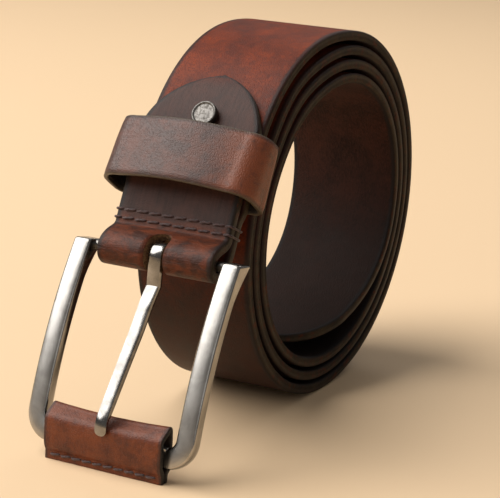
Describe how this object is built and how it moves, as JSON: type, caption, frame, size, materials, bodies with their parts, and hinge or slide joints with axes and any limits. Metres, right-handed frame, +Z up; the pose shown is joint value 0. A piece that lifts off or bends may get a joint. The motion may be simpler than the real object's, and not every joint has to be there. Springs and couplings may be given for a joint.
{
  "type": "leather belt",
  "caption": "Rolled leather trouser belt standing on its edge, with a folded and sewn buckle end, riveted point, loose keeper loop and a square heel bar buckle with a leather-sleeved front bar.",
  "frame": {"origin": "middle of the belt's bounding box in X and Y, on the surface it stands on", "axes": "+X across the strap's width, -Y towards the buckle, +Z up"},
  "size_m": [0.055, 0.163, 0.1142],
  "materials": {
    "strap_leather": "waxed smooth grain outside, darker inside, painted edges",
    "keeper_leather": "glossy waxed grain with a raw rim",
    "sleeve_leather": "waxed grain, dark rough ends",
    "thread": "waxed cord",
    "frame_metal": "satin brushed faces, polished sides",
    "bar_metal": "plain drawn bar",
    "tongue_metal": "polished with faceted edges",
    "rivet_metal": "antique silver, bright rim and mottled face"
  },
  "bodies": {
    "belt": {"strap": "strap_leather", "fold_stitch_upper": "thread", "fold_stitch_lower": "thread", "rivet_cap": "rivet_metal", "rivet_post": "rivet_metal"},
    "keeper": {"keeper_loop": "keeper_leather"},
    "buckle": {"buckle_frame": "frame_metal", "heel_bar": "bar_metal", "front_sleeve": "sleeve_leather", "sleeve_stitching": "thread"},
    "tongue": {"tongue": "tongue_metal"}
  },
  "joints": [
    {"name": "buckle_swing", "type": "hinge", "parent": "belt", "child": "buckle", "pos_m": [0, -0.0507, 0.05593], "axis": [1, 0, 0], "range_deg": [-45, 20]},
    {"name": "tongue_swing", "type": "hinge", "parent": "buckle", "child": "tongue", "pos_m": [0, -0.0507, 0.05593], "axis": [1, 0, 0], "range_deg": [-80, 0]},
    {"name": "keeper_slide", "type": "slide", "parent": "belt", "child": "keeper", "axis": [0, -0.4226, -0.9063], "range_m": [0, 0.008]}
  ]
}
